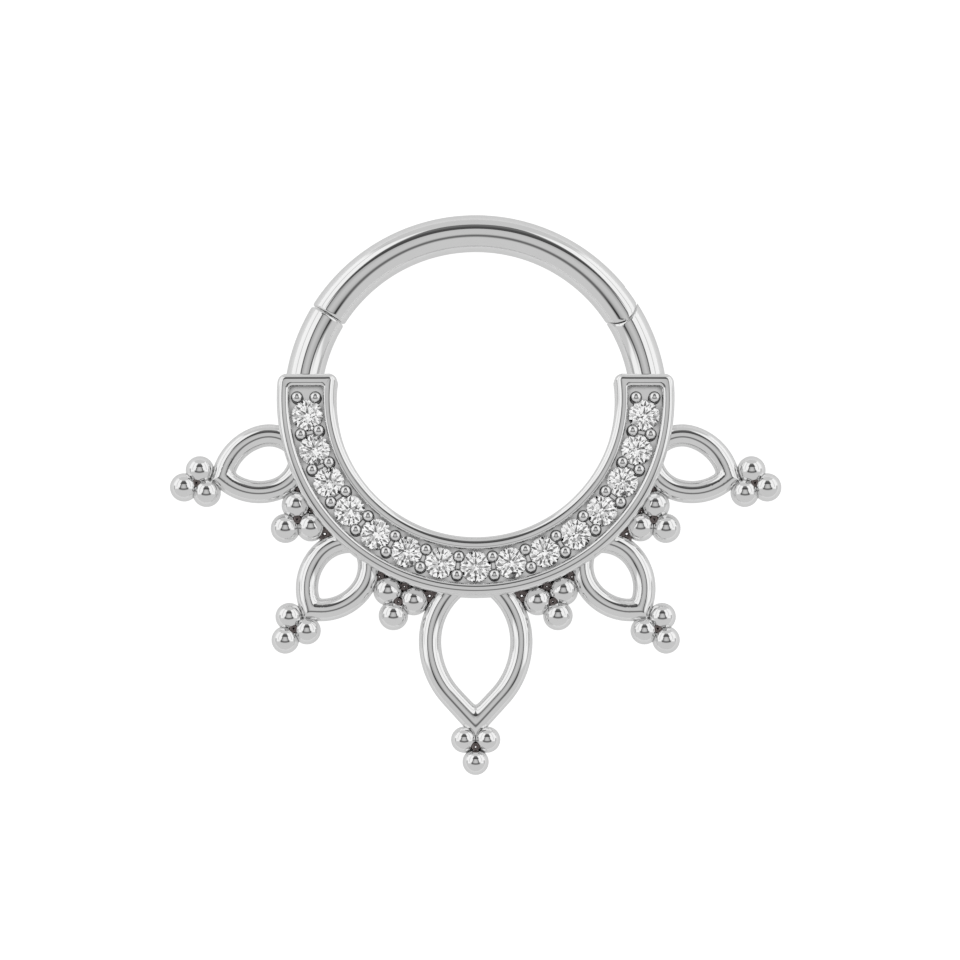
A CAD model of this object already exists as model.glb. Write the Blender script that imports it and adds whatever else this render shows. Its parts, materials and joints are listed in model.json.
"""Piercing hoop with a hinged segment, in polished white metal with a row of clear stones."""

import json
from math import acos, asin, atan2, cos, degrees, pi, radians, sin, sqrt, tan

import bmesh
import bpy
from mathutils import Matrix, Vector


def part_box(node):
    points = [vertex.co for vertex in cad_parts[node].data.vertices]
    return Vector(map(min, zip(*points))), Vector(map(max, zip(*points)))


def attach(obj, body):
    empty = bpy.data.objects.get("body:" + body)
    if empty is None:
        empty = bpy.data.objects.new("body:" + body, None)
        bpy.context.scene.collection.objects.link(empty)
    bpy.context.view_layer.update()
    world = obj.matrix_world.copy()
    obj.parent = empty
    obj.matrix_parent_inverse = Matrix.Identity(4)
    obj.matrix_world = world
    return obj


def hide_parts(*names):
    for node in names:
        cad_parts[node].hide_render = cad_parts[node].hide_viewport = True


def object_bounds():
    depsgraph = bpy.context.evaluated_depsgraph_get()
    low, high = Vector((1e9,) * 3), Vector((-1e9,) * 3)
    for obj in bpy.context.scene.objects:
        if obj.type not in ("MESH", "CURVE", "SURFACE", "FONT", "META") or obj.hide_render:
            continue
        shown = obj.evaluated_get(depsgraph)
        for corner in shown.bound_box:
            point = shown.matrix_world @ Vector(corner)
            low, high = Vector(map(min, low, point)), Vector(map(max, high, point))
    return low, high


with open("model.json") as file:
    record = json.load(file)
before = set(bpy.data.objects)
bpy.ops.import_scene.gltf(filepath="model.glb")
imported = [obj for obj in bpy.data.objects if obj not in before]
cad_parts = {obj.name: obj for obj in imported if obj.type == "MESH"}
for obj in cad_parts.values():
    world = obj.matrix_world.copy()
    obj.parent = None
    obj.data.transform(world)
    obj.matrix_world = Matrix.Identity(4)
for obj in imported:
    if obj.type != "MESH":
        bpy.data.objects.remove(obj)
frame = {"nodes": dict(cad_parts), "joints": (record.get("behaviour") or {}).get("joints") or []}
cad_low, cad_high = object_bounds()

MM = 0.001
Z = Vector((0, 0, 1))

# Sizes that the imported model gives
arc_low, arc_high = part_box("clicker_arc")
wire_r = (arc_high.z - arc_low.z) / 2
mid_z = (arc_high.z + arc_low.z) / 2
channel_depth = cad_high.z - cad_low.z
pin_low, pin_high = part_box("hinge_pin")
pin_r = (pin_high.x - pin_low.x) / 2
pin_place = Vector(frame["joints"][0]["pos_m"])

# Hoop of round wire: its circle sits a little below the channel's centre. Directions are in degrees,
# counted from the right. At the hinge both wires are stretched, over that many degrees, to end on
# the round knuckle.
hoop_r = 5.59 * MM
hoop_drop = 0.2 * MM
seam_dir = 148.5
hinge_dir = 36
seam_gap = 0.035 * MM
seam_round = 0.075 * MM
knuckle_r = 0.66 * MM
knuckle_play = 0.03 * MM
knuckle_round = 0.05 * MM
segment_stretch = 14
stub_stretch = 20

# Hinge and catch, hidden while the hoop is shut
pin_play = 0.02 * MM
tongue_r = 0.26 * MM
tongue_t = 0.36 * MM
tongue_reach = 0.78 * MM
catch_r = 0.12 * MM
catch_h = 0.28 * MM
catch_play = 0.05 * MM
catch_round = 0.02 * MM

# Channel: a little over half a turn. It is spun half_turn degrees to each side of straight down,
# and then drawn level with its ends.
channel_r = 6.39 * MM
bore_r = 4.5 * MM
rim_w = 0.4 * MM
end_y = 0.76 * MM
end_rim_w = 0.41 * MM
recess_depth = 0.42 * MM
rim_round = 0.2 * MM
rim_inner_round = 0.13 * MM
bore_rim_lean = 0.14
end_outer_corner_r = 0.26 * MM
end_bore_corner_r = 0.23 * MM
recess_corner_r = 0.1 * MM
stub_depth = 0.22 * MM
half_turn = 92

straight_down = 270

# Stones and beads. Round each bead lies a thin dark ring, for the groove there: bead_groove gives
# the radii of the ring and of its wire.
stone_count = 15
stone_r = 0.5 * MM
stone_step = 12
first_dir = straight_down - stone_step * (stone_count - 1) / 2
row_r = 5.44 * MM
seat_gap = 0.03 * MM
seat_deep = 0.46 * MM
floor_z = channel_depth - recess_depth
girdle_z = floor_z + 0.09 * MM
bead_r = 0.165 * MM
bead_groove = (0.18 * MM, 0.018 * MM)
groove_rise = 0.2 * MM
bead_rows = (5.15 * MM, 5.74 * MM)
bead_flatness = 0.62
bead_z = channel_depth - bead_flatness * bead_r
post_r = 0.11 * MM
post_sink = 0.1 * MM
bar_w = 0.09 * MM
bar_top = girdle_z + 0.07 * MM

# Petals: direction, where it is widest, half its width there, where the wire meets at the tip,
# the radii of its root and belly arcs, and how far the mitre at the tip is rounded on the inside
# and on the outside, in millimetres. The left ones are mirrored.
petal_r = 0.36 * MM
tip_rows = (0.015, 0.03, 0.05, 0.07, 0.1, 0.13, 0.17, 0.22, 0.28, 0.36, 0.46)
tip_fade = (0.25 * MM, 0.6 * MM)
leg_reach_r = channel_r - 0.4 * MM
petals = {
    "petal_middle": (270, 7.81, 1.465, 10.436, 2.25, 2.62, 0.06, 0.04),
    "petal_lower": (307.86, 7.156, 0.873, 8.611, 1.3, 1.61, 0.05, 0.02),
    "petal_upper": (342.85, 7.04, 0.893, 8.54, 1.15, 1.69, 0.05, 0.02),
}

# Ball clusters: direction, radius of the two inner balls, half their spacing, radius of the outer
# ball, and the balls' radius, in millimetres. All but the middle one are mirrored.
clusters = {
    "balls_middle": (270, 10.96, 0.369, 11.67, 0.42),
    "balls_wall_lower": (290.72, 6.785, 0.443, 7.464, 0.475),
    "balls_tip_lower": (308.2, 9.216, 0.364, 9.88, 0.444),
    "balls_wall_upper": (325.7, 6.7, 0.42, 7.405, 0.475),
    "balls_tip_upper": (343.1, 9.167, 0.381, 9.81, 0.458),
}

# Gaps that solder closes round each cluster on the wall: degrees from the cluster's direction,
# away from the middle petal, radius of the gap's middle, and the radii of the solder ring and of
# its wire, in millimetres
wall_gaps = ((0, 6.47, 0.09, 0.075), (-7.6, 6.52, 0.13, 0.1), (7.6, 6.52, 0.1, 0.085))

# The same two radii for the filling under those rings, and for the ring between three balls
wall_fill = (0.17 * MM, 0.09 * MM)
wall_fill_drop = 0.12 * MM
ball_gap = (0.075 * MM, 0.05 * MM)
ball_gap_rise = 0.25 * MM

# Smoothness: sides round a shape, rows from pole to pole of a ball, and steps of so many degrees
# along a bend
wire_sides = 64
wire_step = 1
channel_step = 2
petal_sides = 48
petal_step = 1.5
bow_step = 6
tongue_step = 10
pin_sides = 48
catch_sides = 32
seat_sides = 40
ball_sides = (48, 24)
bead_sides = (24, 14)
post_sides = 20
solder_sides = 16
solder_steps = 28
sharp_angle = radians(32)
steep = radians(50)

# Slack for telling whether two places are the same
same_height = 1e-9
same_place = 1e-7
cut_slack = 1e-8


# Mesh helpers

def turn(angle, axis="Z"):
    return Matrix.Rotation(radians(angle), 4, axis)


def move(x=0.0, y=0.0, z=0.0):
    return Matrix.Translation((x, y, z))


def everything(bm):
    return bm.verts[:] + bm.edges[:] + bm.faces[:]


def edges_among(verts):
    """The edges that have both ends in verts."""
    chosen = set(verts)
    return [e for e in {e for v in chosen for e in v.link_edges} if set(e.verts) <= chosen]


def only(geom, kind):
    return [g for g in geom if isinstance(g, kind)]


def ring(bm, radius, sides, place):
    """An open ring of edges in the XY plane of place."""
    made = bmesh.ops.create_circle(bm, segments=sides, radius=radius, matrix=place)
    return made["verts"]


def swing(bm, verts, centre, angle, steps):
    """Spins a ring about an upright axis and returns the last ring's vertices, in the same order."""
    made = bmesh.ops.spin(bm, geom=list(verts) + edges_among(verts), cent=centre, axis=Z,
                          angle=radians(angle), steps=steps)
    return only(made["geom_last"], bmesh.types.BMVert)


def cap(bm, verts, rounding=0.0):
    """Closes a ring with one flat face and rounds its edge."""
    rim = edges_among(verts)
    bmesh.ops.contextual_create(bm, geom=rim)
    if rounding:
        soften(bm, rim, rounding)


def soften(bm, edges, width, segments=4):
    """Rounds edges over that width on both sides, in that many steps."""
    bmesh.ops.bevel(bm, geom=list(edges), offset=width, offset_type="OFFSET", affect="EDGES",
                    segments=segments, profile=0.5, material=-1, clamp_overlap=False)


def copy_into(bm, other):
    """Adds another bmesh's geometry to bm."""
    mesh = bpy.data.meshes.new("copied")
    other.to_mesh(mesh)
    other.free()
    bm.from_mesh(mesh)
    bpy.data.meshes.remove(mesh)


def add_mirrored(bm):
    """Adds a copy of the mesh on the other side of the YZ plane."""
    made = bmesh.ops.duplicate(bm, geom=everything(bm))
    verts = only(made["geom"], bmesh.types.BMVert)
    faces = only(made["geom"], bmesh.types.BMFace)
    bmesh.ops.scale(bm, vec=(-1, 1, 1), verts=verts)
    bmesh.ops.reverse_faces(bm, faces=faces)


def piece(name, bm, body, material, replaces):
    """Makes the finished mesh an object with smooth faces and crisp edges, which rides on a body
    and stands for a solid."""
    bmesh.ops.recalc_face_normals(bm, faces=bm.faces[:])
    bm.normal_update()
    for face in bm.faces:
        face.smooth = True
    for edge in bm.edges:
        edge.smooth = len(edge.link_faces) == 2 and edge.calc_face_angle(pi) < sharp_angle
    mesh = bpy.data.meshes.new(name)
    bm.to_mesh(mesh)
    bm.free()
    mesh.materials.append(material)
    made = bpy.data.objects.new(name, mesh)
    bpy.context.scene.collection.objects.link(made)
    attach(made, body)
    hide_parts(replaces)


def cut_away(bm, *cutters):
    """Takes the cutters' solids out of a closed mesh."""
    def as_object(shape):
        mesh = bpy.data.meshes.new("cutting")
        shape.to_mesh(mesh)
        shape.free()
        made = bpy.data.objects.new("cutting", mesh)
        bpy.context.scene.collection.objects.link(made)
        return made

    bmesh.ops.recalc_face_normals(bm, faces=bm.faces[:])
    body = as_object(bm)
    tools = [as_object(c) for c in cutters]
    for tool in tools:
        cut = body.modifiers.new("cut", "BOOLEAN")
        cut.operation = "DIFFERENCE"
        cut.solver = "EXACT"
        cut.object = tool
    result = bmesh.new()
    result.from_object(body, bpy.context.evaluated_depsgraph_get())
    for done in [body, *tools]:
        mesh = done.data
        bpy.data.objects.remove(done)
        bpy.data.meshes.remove(mesh)
    return result


def rod(radius, low, high, place, sides=pin_sides):
    """A closed cylinder along the Z axis of place."""
    bm = bmesh.new()
    middle = place @ move(z=(low + high) / 2)
    bmesh.ops.create_cone(bm, cap_ends=True, segments=sides, radius1=radius, radius2=radius,
                          depth=high - low, matrix=middle)
    return bm


def plate(outline, low, high, place):
    """A flat solid with that outline, from low to high along the Z axis of place."""
    bm = bmesh.new()
    verts = [bm.verts.new((x, y, low)) for x, y in outline]
    face = bm.faces.new(verts)
    made = bmesh.ops.extrude_face_region(bm, geom=[face])
    bmesh.ops.translate(bm, vec=(0, 0, high - low), verts=only(made["geom"], bmesh.types.BMVert))
    bmesh.ops.transform(bm, matrix=place, verts=bm.verts[:])
    bmesh.ops.recalc_face_normals(bm, faces=bm.faces[:])
    return bm


# The hoop of round wire

hoop_centre = Vector((0, -hoop_drop, mid_z))


def on_hoop(direction):
    """A frame at the middle of the wire: X outwards, Y along increasing angles, Z up."""
    return Matrix.Translation(hoop_centre) @ turn(direction) @ move(hoop_r)


def wire_ring(bm, direction):
    return ring(bm, wire_r, wire_sides, on_hoop(direction) @ turn(90, "X"))


def wire_arc(bm, start, end):
    """A stretch of the hoop's wire; returns its first and last ring."""
    first = wire_ring(bm, start)
    last = swing(bm, first, hoop_centre, end - start, round(abs(end - start) / wire_step))
    return first, last


def fit_to_knuckle(bm, radius, anchor):
    """Draws the wire's end on to a cylinder about the hinge, and stretches the wire up to anchor."""
    slack = 0.01

    def direction(v):
        return degrees(atan2(v.co.y - hoop_centre.y, v.co.x))

    low, high = sorted((hinge_dir, anchor))
    for v in bm.verts:
        old = direction(v)
        if not low - slack <= old <= high + slack:
            continue
        r = (Vector((v.co.x, v.co.y, 0)) - Vector((0, hoop_centre.y, 0))).length
        swing_back = degrees(acos((r * r + hoop_r * hoop_r - radius * radius) / (2 * r * hoop_r)))
        share = (old - anchor) / (hinge_dir - anchor)
        new = old - share * swing_back
        v.co.x, v.co.y = r * cos(radians(new)), hoop_centre.y + r * sin(radians(new))


def close_knuckle(bm, verts):
    """Closes a ring that lies on an upright cylinder, with upright quads, and rounds its edge."""
    rim = edges_among(verts)
    outwards = sorted(verts, key=lambda v: (v.co.xy - hoop_centre.xy).length)
    upper = [v for v in outwards if v.co.z > mid_z + same_height]
    lower = [v for v in outwards if v.co.z < mid_z - same_height]
    inner, outer = [v for v in outwards if abs(v.co.z - mid_z) <= same_height]
    bm.faces.new((inner, upper[0], lower[0]))
    for k in range(len(upper) - 1):
        bm.faces.new((upper[k], upper[k + 1], lower[k + 1], lower[k]))
    bm.faces.new((upper[-1], outer, lower[-1]))
    soften(bm, rim, knuckle_round, segments=3)


def hinge_slot():
    """The slot in the segment's end, round the frame's tongue."""
    slot_r = tongue_r + pin_play
    slot_t = tongue_t + 2 * pin_play
    away = 2 * MM
    bow = [(slot_r * cos(radians(a)), slot_r * sin(radians(a))) for a in range(180, 85, -bow_step)]
    outline = [(-slot_r, -away), *bow, (away, slot_r), (away, -away)]
    return plate(outline, -slot_t / 2, slot_t / 2, at_pin())


def at_pin():
    """A frame on the hinge's axis, with its X axis away from the hoop's middle."""
    return Matrix.Translation(pin_place) @ turn(hinge_dir)


def pin_hole():
    """Blind in front and open at the back."""
    return rod(pin_r + pin_play, -2 * wire_r, pin_high.z - mid_z + pin_play, at_pin())


def catch_place():
    """A frame in the middle of the catch's seam, with its Z axis along the part's Y axis."""
    return on_hoop(seam_dir) @ turn(-seam_dir) @ turn(-90, "X")


def seam_half_turn():
    """How many degrees half of the seam's gap takes."""
    return degrees(asin(seam_gap / 2 / hoop_r))


def clicker_arc(metal):
    bm = bmesh.new()
    hinge_end, seam_end = wire_arc(bm, hinge_dir, seam_dir - seam_half_turn())
    fit_to_knuckle(bm, knuckle_r, hinge_dir + segment_stretch)
    close_knuckle(bm, hinge_end)
    cap(bm, seam_end, seam_round)
    socket = rod(catch_r + catch_play, -catch_h, catch_h + catch_play, catch_place(), catch_sides)
    bm = cut_away(bm, hinge_slot(), pin_hole(), socket)
    piece("segment_wire", bm, "clicker", metal, "clicker_arc")


def stub_dir():
    """The direction of the right stub's foot, a little inside the channel's end."""
    return degrees(asin((end_y - stub_depth + hoop_drop) / hoop_r))


def catch_stub(metal):
    bm = bmesh.new()
    seam_end, foot = wire_arc(bm, seam_dir + seam_half_turn(), 180 - stub_dir())
    cap(bm, seam_end, seam_round)
    cap(bm, foot)
    post = rod(catch_r, -catch_h, catch_h, catch_place(), catch_sides)
    post_ends = [f for f in post.faces if len(f.verts) > 4]
    soften(post, [e for f in post_ends for e in f.edges], catch_round, segments=3)
    copy_into(bm, post)
    piece("catch_stub", bm, "hoop", metal, "frame")


def hinge_stub(metal):
    bm = bmesh.new()
    foot, hinge_end = wire_arc(bm, stub_dir(), hinge_dir)
    fit_to_knuckle(bm, knuckle_r + knuckle_play, hinge_dir - stub_stretch)
    close_knuckle(bm, hinge_end)
    cap(bm, foot)
    bow = [(tongue_r * cos(radians(a)), tongue_r * sin(radians(a)))
           for a in range(0, 181, tongue_step)]
    tongue = plate([(tongue_r, -tongue_reach), *bow, (-tongue_r, -tongue_reach)],
                   -tongue_t / 2, tongue_t / 2, at_pin())
    copy_into(bm, cut_away(tongue, pin_hole()))
    piece("hinge_stub", bm, "hoop", metal, "frame")


# The channel

def level_turn(r, y):
    """From straight down, how far round a circle of radius r reaches height y."""
    return 90 + degrees(asin(y / r))


def channel_block():
    """The channel's half turn, cut off level, as a solid block, and the faces over its recess."""
    recess_y = end_y - end_rim_w
    radii = (bore_r, bore_r + rim_w, channel_r - rim_w, channel_r)
    bm = bmesh.new()
    bed = bm.faces.layers.int.new("bed")
    row = [bm.verts.new((0, -r, 0)) for r in radii]
    across = [bm.edges.new(pair) for pair in zip(row, row[1:])]
    bmesh.ops.rotate(bm, cent=(0, 0, 0), matrix=turn(-half_turn).to_3x3(), verts=row)
    made = bmesh.ops.spin(bm, geom=row + across, cent=(0, 0, 0), axis=Z,
                          angle=radians(2 * half_turn), steps=2 * half_turn // channel_step)
    for v in bm.verts:
        r = v.co.length
        old = degrees(atan2(v.co.x, -v.co.y))
        new = radians(old * level_turn(r, recess_y) / half_turn)
        v.co = r * Vector((sin(new), -cos(new), 0))
    for face in bm.faces:
        face[bed] = radii[1] < face.calc_center_median().length < radii[2]
    for side, end in ((-1, row), (1, only(made["geom_last"], bmesh.types.BMVert))):
        grown = bmesh.ops.extrude_edge_only(bm, edges=edges_among(end))
        end = only(grown["geom"], bmesh.types.BMVert)
        for v in end:
            r = min(radii, key=lambda known: abs(known - v.co.length))
            v.co = Vector((side * sqrt(r * r - end_y * end_y), end_y, 0))
        for face in {f for v in end for f in v.link_faces}:
            face[bed] = 0
    made = bmesh.ops.extrude_face_region(bm, geom=bm.faces[:])
    bmesh.ops.translate(bm, vec=(0, 0, channel_depth), verts=only(made["geom"], bmesh.types.BMVert))
    bmesh.ops.recalc_face_normals(bm, faces=bm.faces[:])
    return bm, [f for f in bm.faces if f[bed] and f.normal.z > 0.5]


def lean_bore_rim(bm):
    """Moves the crest of the rim round the bore outwards, so that its bore side is the rounder."""
    for v in bm.verts:
        share = (v.co.xy.length - bore_r) / rim_w
        if v.co.z > mid_z and 0 < share < 1:
            wanted = bore_r + rim_w * (share + bore_rim_lean * sin(pi * share))
            v.co.xy = v.co.xy * (wanted / v.co.xy.length)


def channel(metal):
    bm, bed = channel_block()
    sunk = bmesh.ops.extrude_face_region(bm, geom=bed)
    bmesh.ops.delete(bm, geom=bed, context="FACES")
    bmesh.ops.translate(bm, vec=(0, 0, -recess_depth), verts=only(sunk["geom"], bmesh.types.BMVert))
    bmesh.ops.recalc_face_normals(bm, faces=bm.faces[:])

    def corner(e):
        a, b = e.verts
        return (a.co.xy - b.co.xy).length < same_place and e.calc_face_angle(0) > steep

    def rim(e):
        a, b = e.verts
        return abs(a.co.z - b.co.z) < same_place and e.calc_face_angle(0) > steep

    def round_recess(e):
        return min(v.co.z for f in e.link_faces for v in f.verts) > mid_z

    def on_floor(e):
        return abs(e.verts[0].co.z - floor_z) < same_place

    corners = [e for e in bm.edges if corner(e)]
    recess_corners = [e for e in corners if round_recess(e)]
    outer_corners = [e for e in corners if not round_recess(e) and e.verts[0].co.xy.length > row_r]
    bore_corners = [e for e in corners if not round_recess(e) and e.verts[0].co.xy.length < row_r]
    soften(bm, outer_corners, end_outer_corner_r, segments=6)
    soften(bm, bore_corners, end_bore_corner_r, segments=6)
    soften(bm, recess_corners, recess_corner_r)
    bm.normal_update()
    rims = [e for e in bm.edges if rim(e) and not on_floor(e)]
    recess_rims = [e for e in rims if round_recess(e)]
    soften(bm, [e for e in rims if not round_recess(e)], rim_round, segments=5)
    soften(bm, [e for e in recess_rims if e.is_valid], rim_inner_round)
    lean_bore_rim(bm)
    seats = bmesh.new()
    for i in range(stone_count):
        place = turn(first_dir + stone_step * i) @ move(row_r, 0, girdle_z - seat_deep / 2)
        bmesh.ops.create_cone(seats, cap_ends=True, segments=seat_sides, radius1=2 * seat_gap,
                              radius2=stone_r + seat_gap, depth=seat_deep, matrix=place)
    piece("channel", cut_away(bm, seats), "hoop", metal, "frame")


# Petals, balls and bead prongs

def half_petal(widest, half_w, tip, root_r, belly_r, inner_soft, outer_soft):
    """Half a petal along the X axis: root arc, belly arc and a straight run, cut off on the axis."""
    bm = bmesh.new()
    across, along = belly_r - half_w, tip - widest
    run = sqrt(along * along + across * across - belly_r * belly_r)
    belly_turn = degrees(atan2(belly_r, run) - atan2(across, along))
    root_turn = degrees(asin((widest - leg_reach_r) / root_r))
    root_centre = Vector((widest, half_w - root_r, mid_z))
    belly_centre = Vector((widest, half_w - belly_r, mid_z))
    start = Matrix.Translation(root_centre) @ turn(90 + root_turn) @ move(root_r) @ turn(90, "X")
    foot = ring(bm, petal_r, petal_sides, start)
    last = swing(bm, foot, root_centre, -root_turn, round(root_turn / petal_step))
    last = swing(bm, last, belly_centre, -belly_turn, round(belly_turn / petal_step))
    grown = bmesh.ops.extrude_edge_only(bm, edges=edges_among(last))
    heading = radians(belly_turn)
    past_axis = 1 * MM
    reach = run + past_axis
    bmesh.ops.translate(bm, vec=(reach * cos(heading), -reach * sin(heading), 0),
                        verts=only(grown["geom"], bmesh.types.BMVert))
    bmesh.ops.contextual_create(bm, geom=edges_among(foot))
    bmesh.ops.bisect_plane(bm, geom=everything(bm), dist=cut_slack,
                           plane_co=(0, 0, 0), plane_no=(0, -1, 0), clear_outer=True)
    for y in tip_rows:
        bmesh.ops.bisect_plane(bm, geom=everything(bm), dist=cut_slack,
                               plane_co=(0, y * MM, 0), plane_no=(0, 1, 0))
    round_mitre(bm, widest, tip, heading, inner_soft, outer_soft)
    return bm


def round_mitre(bm, widest, tip, heading, inner_soft, outer_soft):
    """Draws the wire back from its sharp mitre, more on the petal's inside than on its outside."""
    start, end = tip_fade
    for v in bm.verts:
        x, y = v.co.x, v.co.y
        if x < widest or y > end:
            continue
        across = (x - tip) * sin(heading) + y * cos(heading)
        outward = min(1, max(0, 0.5 + 0.5 * across / petal_r))
        soft = inner_soft + (outer_soft - inner_soft) * outward
        fade = 1 - max(0, (y - start) / (end - start))
        v.co.x -= fade * (sqrt(y * y + soft * soft) - y) / tan(heading)


def petal(direction, *sizes):
    bm = half_petal(*[s * MM for s in sizes])
    bmesh.ops.mirror(bm, geom=everything(bm), axis="Y", merge_dist=same_place)
    bmesh.ops.remove_doubles(bm, verts=bm.verts[:], dist=same_place)
    bmesh.ops.transform(bm, matrix=turn(direction), verts=bm.verts[:])
    return bm


def cluster(direction, inner, half_gap, outer, ball):
    bm = bmesh.new()
    sides, rows = ball_sides
    for along, across in ((inner, -half_gap), (inner, half_gap), (outer, 0)):
        bmesh.ops.create_uvsphere(bm, u_segments=sides, v_segments=rows, radius=ball * MM,
                                  matrix=turn(direction) @ move(along * MM, across * MM, mid_z))
    return bm


def petals_and_balls(wire_metal, ball_metal):
    for shape, table, metal in ((petal, petals, wire_metal), (cluster, clusters, ball_metal)):
        for name, (direction, *sizes) in table.items():
            bm = shape(direction, *sizes)
            if direction != straight_down:
                add_mirrored(bm)
            piece(name, bm, "hoop", metal, "frame")


def flat_ring(bm, direction, reach, z, ring_r, thread_r):
    """A ring of thin round wire that lies flat, at that direction and distance from the middle."""
    centre = turn(direction) @ Vector((reach, 0, z))
    start = ring(bm, thread_r, solder_sides,
                 Matrix.Translation(centre) @ move(ring_r) @ turn(90, "X"))
    bmesh.ops.spin(bm, geom=start + edges_among(start), cent=centre, axis=Z, angle=2 * pi,
                   steps=solder_steps, use_merge=True)


def solder(dark, bright):
    """Dark rings of solder in the gaps, each with a pinhole in its middle. A bright filling lies
    under those on the wall."""
    rings, filling = bmesh.new(), bmesh.new()
    for name, (right, inner, _, outer, _) in clusters.items():
        between_balls = (2 * inner + outer) / 3 * MM
        for side in (1, -1):
            direction = straight_down + side * (right - straight_down)
            if right > straight_down or side > 0:
                flat_ring(rings, direction, between_balls, mid_z + ball_gap_rise, *ball_gap)
            if "wall" in name:
                for off, reach, ring_r, thread_r in wall_gaps:
                    gap = direction + side * off
                    flat_ring(rings, gap, reach * MM, mid_z, ring_r * MM, thread_r * MM)
                    flat_ring(filling, gap, reach * MM, mid_z - wall_fill_drop, *wall_fill)
    piece("solder", rings, "hoop", dark, "frame")
    piece("solder_filling", filling, "hoop", bright, "frame")


def bead_prongs(metal, dark):
    """Pairs of flattened beads on posts, with a bar between the two of every pair but the end
    ones, and a dark ring round each bead."""
    bm, grooves = bmesh.new(), bmesh.new()
    flatten = Matrix.Diagonal((1, 1, bead_flatness, 1))
    sides, rows = bead_sides
    post_foot = floor_z - post_sink
    for i in range(stone_count + 1):
        direction = first_dir + stone_step * (i - 0.5)
        place = turn(direction)
        for r in bead_rows:
            flat_ring(grooves, direction, r, floor_z + groove_rise, *bead_groove)
            bmesh.ops.create_uvsphere(bm, u_segments=sides, v_segments=rows, radius=bead_r,
                                      matrix=place @ move(r, 0, bead_z) @ flatten)
            bmesh.ops.create_cone(bm, cap_ends=True, segments=post_sides, radius1=post_r,
                                  radius2=post_r, depth=bead_z - post_foot,
                                  matrix=place @ move(r, 0, (bead_z + post_foot) / 2))
        if 0 < i < stone_count:
            size = Matrix.Diagonal((bead_rows[1] - bead_rows[0], bar_w, bar_top - floor_z, 1))
            middle = move(sum(bead_rows) / 2, 0, (bar_top + floor_z) / 2)
            bmesh.ops.create_cube(bm, size=1, matrix=place @ middle @ size)
    piece("bead_prongs", bm, "hoop", metal, "frame")
    piece("bead_grooves", grooves, "hoop", dark, "frame")


# Materials

class Socket:
    """A shader value that can be written in sums and products."""

    def __init__(self, tree, output):
        self.tree, self.output = tree, output

    def node(self, kind, settings=None, inputs=None):
        made = self.tree.nodes.new(kind)
        for name, value in (settings or {}).items():
            setattr(made, name, value)
        for name, value in (inputs or {}).items():
            if isinstance(value, Socket):
                self.tree.links.new(value.output, made.inputs[name])
            else:
                made.inputs[name].default_value = value
        return made

    def value(self, kind, settings=None, inputs=None, output=0):
        return Socket(self.tree, self.node(kind, settings, inputs).outputs[output])

    def maths(self, operation, *values):
        return self.value("ShaderNodeMath", {"operation": operation}, dict(enumerate(values)))

    def __add__(self, other):
        return self.maths("ADD", self, other)

    def __radd__(self, other):
        return self.maths("ADD", other, self)

    def __sub__(self, other):
        return self.maths("SUBTRACT", self, other)

    def __rsub__(self, other):
        return self.maths("SUBTRACT", other, self)

    def __mul__(self, other):
        return self.maths("MULTIPLY", self, other)

    def __rmul__(self, other):
        return self.maths("MULTIPLY", other, self)

    def abs(self):
        return self.maths("ABSOLUTE", self)

    def step(self, low, high):
        """0 below low and 1 above high, with a soft rise between."""
        return self.value("ShaderNodeMapRange", {"interpolation_type": "SMOOTHSTEP"},
                          {"Value": self, "From Min": low, "From Max": high})

    def band(self, low, high, soft):
        """1 from low to high, fading out over soft on both sides."""
        return self.step(low - soft, low) * (1 - self.step(high, high + soft))


def new_material(name):
    material = bpy.data.materials.new(name)
    material.use_nodes = True
    tree = material.node_tree
    shader = tree.nodes["Principled BSDF"]
    place = Socket(tree, tree.nodes.new("ShaderNodeTexCoord").outputs["Object"])
    return material, shader, place


def link(source, socket):
    source.tree.links.new(source.output, socket)


def noise(place, scale, detail, roughness=0.5):
    """Soft random clouds from 0 to 1; a larger scale makes them finer."""
    return place.value("ShaderNodeTexNoise", {"noise_dimensions": "3D"},
                       {"Vector": place, "Scale": scale, "Detail": detail, "Roughness": roughness},
                       "Fac")


def colour(share, first, second):
    """Goes from the first colour to the second as share goes from 0 to 1."""
    return share.value("ShaderNodeMix", {"data_type": "RGBA"},
                       {"Factor": share, "A": (*first, 1), "B": (*second, 1)}, "Result")


def grey(share, low, high):
    return colour(share, (low, low, low), (high, high, high))


def recess_share(place):
    """1 between the channel's two rims and 0 beyond them, by the distance from its axis."""
    flat = place.value("ShaderNodeVectorMath", {"operation": "MULTIPLY"},
                       {0: place, 1: (1 / MM, 1 / MM, 0)}, "Vector")
    radius = flat.value("ShaderNodeVectorMath", {"operation": "LENGTH"}, {0: flat}, "Value")
    return radius.band((bore_r + rim_w) / MM, (channel_r - rim_w) / MM, 0.03)


def polished_metal(name, darkest=1.0, reach=0.0, in_recess=False):
    """White metal. In corners narrower than reach it gets darker, down to the share darkest."""
    material, shader, place = new_material(name)
    clouds = noise(place, 900.0, 3.0)
    hairlines = noise(place, 9000.0, 2.0)
    tone = 0.86 + 0.06 * clouds
    if darkest < 1:
        openness = place.value("ShaderNodeAmbientOcclusion", {"samples": 6}, {"Distance": reach}, "AO")
        corner = 1 - openness.step(0.2, 0.8)
        if in_recess:
            corner = corner * recess_share(place)
        tone = tone * (1 - (1 - darkest) * corner)
    link(grey(tone, 0, 1), shader.inputs["Base Color"])
    link(0.03 + 0.03 * clouds + 0.02 * hairlines, shader.inputs["Roughness"])
    shader.inputs["Metallic"].default_value = 1.0
    return material


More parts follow.
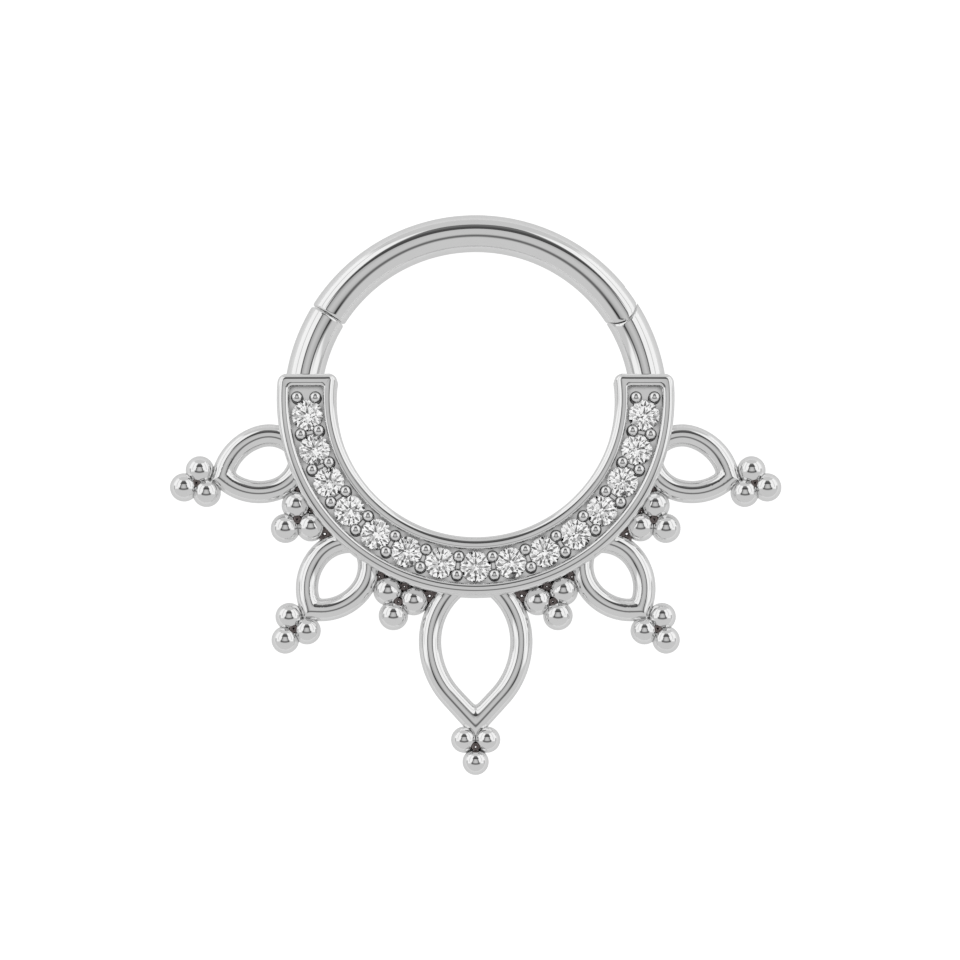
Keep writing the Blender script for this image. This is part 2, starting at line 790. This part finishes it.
def dark_metal(name, darkest, brightest):
    material, shader, place = new_material(name)
    clouds = noise(place, 6000.0, 2.0)
    link(colour(clouds, darkest, brightest), shader.inputs["Base Color"])
    link(0.2 + 0.2 * clouds, shader.inputs["Roughness"])
    shader.inputs["Metallic"].default_value = 1.0
    return material


def clear_stone():
    material, shader, place = new_material("clear stone")
    clouds = noise(place, 700.0, 1.0)
    link(grey(clouds, 0.97, 1.0), shader.inputs["Base Color"])
    link(0.01 * clouds, shader.inputs["Roughness"])
    shader.inputs["IOR"].default_value = 2.42
    shader.inputs["Transmission Weight"].default_value = 1.0
    return material


def dress(node, material):
    """Gives a solid that stays in view its finish."""
    node.data.materials.clear()
    node.data.materials.append(material)


# Studio: what the metal mirrors. Directions are in degrees from the one towards the camera:
# across, alike to both sides, and up. A span says from where to where a shape reaches, and how
# far it fades beyond. An edge says where a change starts and where it is full. A lean brings an
# upright edge that many degrees nearer to the middle for each degree up. Light goes from 0,
# black, to 1, as bright as the photo's background, and a loss is the share of it taken away.

camera_tilt = 4.9
background_light = 1.0
wall_light = 0.63
panel_lean = 0.3

# The field behind the camera, darker towards its sides
field_edge = (30, 33)
field_up = (-8, 30, 5)
field_light = 0.6
field_fall = 0.2
field_fall_edge = (4, 28)

# White panels, at the field's sides and further round
near_panel_edge = (32, 34)
near_panel_end = (72, 76)
near_panel_up = (-6, 55, 6)
near_panel_light = 0.98
far_panel_across = (74, 134, 4)
far_panel_up = (14, 55, 6)
far_panel_light = 1.0

# Dark lines: lean, span across, span up and loss
dark_lines = {
    "slit in the near panel": (0, (56, 60, 1.5), (5, 60, 4), 0.35),
    "frame of the near panel": (panel_lean, (25.5, 31, 1.5), (-10, 24, 5), 0.72),
    "line further round": (0, (79, 85, 2.5), (-9, 8, 4), 0.3),
}

# The black top above the camera, a little less black higher up
top_lean = 0.4
top_edge = (40, 45)
top_up = (29, 55, 3)
top_loss = 0.88
top_fall = 0.13
top_fall_edge = (40, 46)

# The dark band where the ground ends, lowest in the middle and rising to the sides
horizon_drop = 15
horizon_rise = 0.005
horizon_edge = (1, 13)
horizon_end = (34, 48)
horizon_loss = 0.78

# Specks of light that the facets pick up inside a stone. Few come from near the camera; that edge
# is given by its cosines.
stone_light = 1.22
speck_scale = 3.2
speck_edge = (0.38, 0.52)
near_camera = (0.965, 0.985)
near_camera_share = 0.1


def paint(light, share, tone):
    """Lays a tone over the light where share is 1."""
    return light * (1 - share) + share * tone


def dim(light, share, loss):
    """Takes that part of the light away where share is 1."""
    return light * (1 - loss * share)


def studio():
    world = bpy.data.worlds.new("studio")
    bpy.context.scene.world = world
    world.use_nodes = True
    tree = world.node_tree
    shade = tree.nodes["Background"]
    ray = Socket(tree, tree.nodes.new("ShaderNodeTexCoord").outputs["Generated"])

    def along(axis):
        return ray.value("ShaderNodeVectorMath", {"operation": "DOT_PRODUCT"},
                         {0: ray, 1: axis}, "Value")

    tilt = radians(camera_tilt)
    ahead = along((0, -sin(tilt), cos(tilt)))
    up = along((0, cos(tilt), sin(tilt)))
    side = along((1, 0, 0))
    across = side.maths("ARCTAN2", side, ahead) * degrees(1)
    height = up.maths("ARCSINE", up) * degrees(1)
    wide = across.abs()
    slant = wide + panel_lean * height

    field = (1 - slant.step(*field_edge)) * height.band(*field_up)
    light = paint(wall_light, field, field_light - field_fall * slant.abs().step(*field_fall_edge))
    near_panel = slant.step(*near_panel_edge) * (1 - wide.step(*near_panel_end))
    light = paint(light, near_panel * height.band(*near_panel_up), near_panel_light)
    far_panel = wide.band(*far_panel_across) * height.band(*far_panel_up)
    light = paint(light, far_panel, far_panel_light)
    for lean, span_across, span_up, loss in dark_lines.values():
        line = (wide + lean * height).band(*span_across) * height.band(*span_up)
        light = dim(light, line, loss)
    top = (1 - (wide + top_lean * height).step(*top_edge)) * height.band(*top_up)
    light = dim(light, top, top_loss - top_fall * height.step(*top_fall_edge))
    sag = horizon_rise * wide * wide - horizon_drop
    horizon = (1 - (height - sag).abs().step(*horizon_edge)) * (1 - wide.step(*horizon_end))
    light = dim(light, horizon, horizon_loss)

    in_stone = ray.value("ShaderNodeLightPath", output="Transmission Depth").step(0.5, 0.6)
    specks = noise(ray, speck_scale, 2.0, 0.6).step(*speck_edge)
    off_camera = (1 - ahead.step(*near_camera)).step(0.0, 1.0)
    seen_share = near_camera_share + (1 - near_camera_share) * off_camera
    light = paint(light, in_stone, stone_light * specks * seen_share)

    to_camera = ray.value("ShaderNodeLightPath", output="Is Camera Ray")
    link(paint(light, to_camera, background_light), shade.inputs["Strength"])
    shade.inputs["Color"].default_value = (1, 1, 1, 1)


floor_half_width = 2.0
floor_grey = 0.25
floor_glow = (0.5, 0.95)


def pale_floor():
    """A grey floor whose glow keeps it pale to the camera and darker in what the metal mirrors."""
    bm = bmesh.new()
    bmesh.ops.create_grid(bm, x_segments=1, y_segments=1, size=floor_half_width)
    mesh = bpy.data.meshes.new("floor")
    bm.to_mesh(mesh)
    bm.free()
    floor = bpy.data.objects.new("floor", mesh)
    bpy.context.scene.collection.objects.link(floor)
    material, shader, place = new_material("pale floor")
    seen = place.value("ShaderNodeLightPath", output="Is Camera Ray")
    shader.inputs["Base Color"].default_value = (floor_grey, floor_grey, floor_grey, 1)
    shader.inputs["Roughness"].default_value = 0.5
    link(grey(seen, *floor_glow), shader.inputs["Emission Color"])
    shader.inputs["Emission Strength"].default_value = 1.0
    mesh.materials.append(material)


# Camera, at the photo's angle and with its frame

frame_pixels = 960
pixels_per_mm = 31.1
camera_aim = Vector((0.139 * MM, -2.63 * MM, 1.0 * MM))
camera_distance = 130 * MM


def photo_camera():
    tilt = radians(camera_tilt)
    camera = bpy.data.cameras.new("camera")
    made = bpy.data.objects.new("camera", camera)
    bpy.context.scene.collection.objects.link(made)
    back = Vector((0, -sin(tilt), cos(tilt)))
    made.location = camera_aim + camera_distance * back
    made.rotation_euler = back.to_track_quat("Z", "Y").to_euler()
    frame_width = frame_pixels / pixels_per_mm * MM
    camera.lens = camera.sensor_width * camera_distance / frame_width
    camera.clip_start = 10 * MM
    camera.clip_end = 10.0
    bpy.context.scene.camera = made


# The hoop and its surroundings are made

metal = polished_metal("polished white metal")
recess_metal = polished_metal("white metal of the channel", 0.3, 0.18 * MM, in_recess=True)
ball_metal = polished_metal("white metal of the balls", 0.6, 0.1 * MM)
groove_metal = dark_metal("dark metal round the beads", (0.14, 0.14, 0.14), (0.3, 0.3, 0.3))
solder_metal = dark_metal("dark solder", (0.08, 0.062, 0.06), (0.32, 0.28, 0.275))
stone = clear_stone()
clicker_arc(metal)
catch_stub(metal)
hinge_stub(metal)
channel(recess_metal)
petals_and_balls(metal, ball_metal)
bead_prongs(recess_metal, groove_metal)
solder(solder_metal, ball_metal)
for name, node in frame["nodes"].items():
    if name == "hinge_pin":
        dress(node, metal)
    elif name.startswith("stone_"):
        dress(node, stone)
studio()
pale_floor()
photo_camera()
bpy.context.scene.view_settings.view_transform = "Standard"
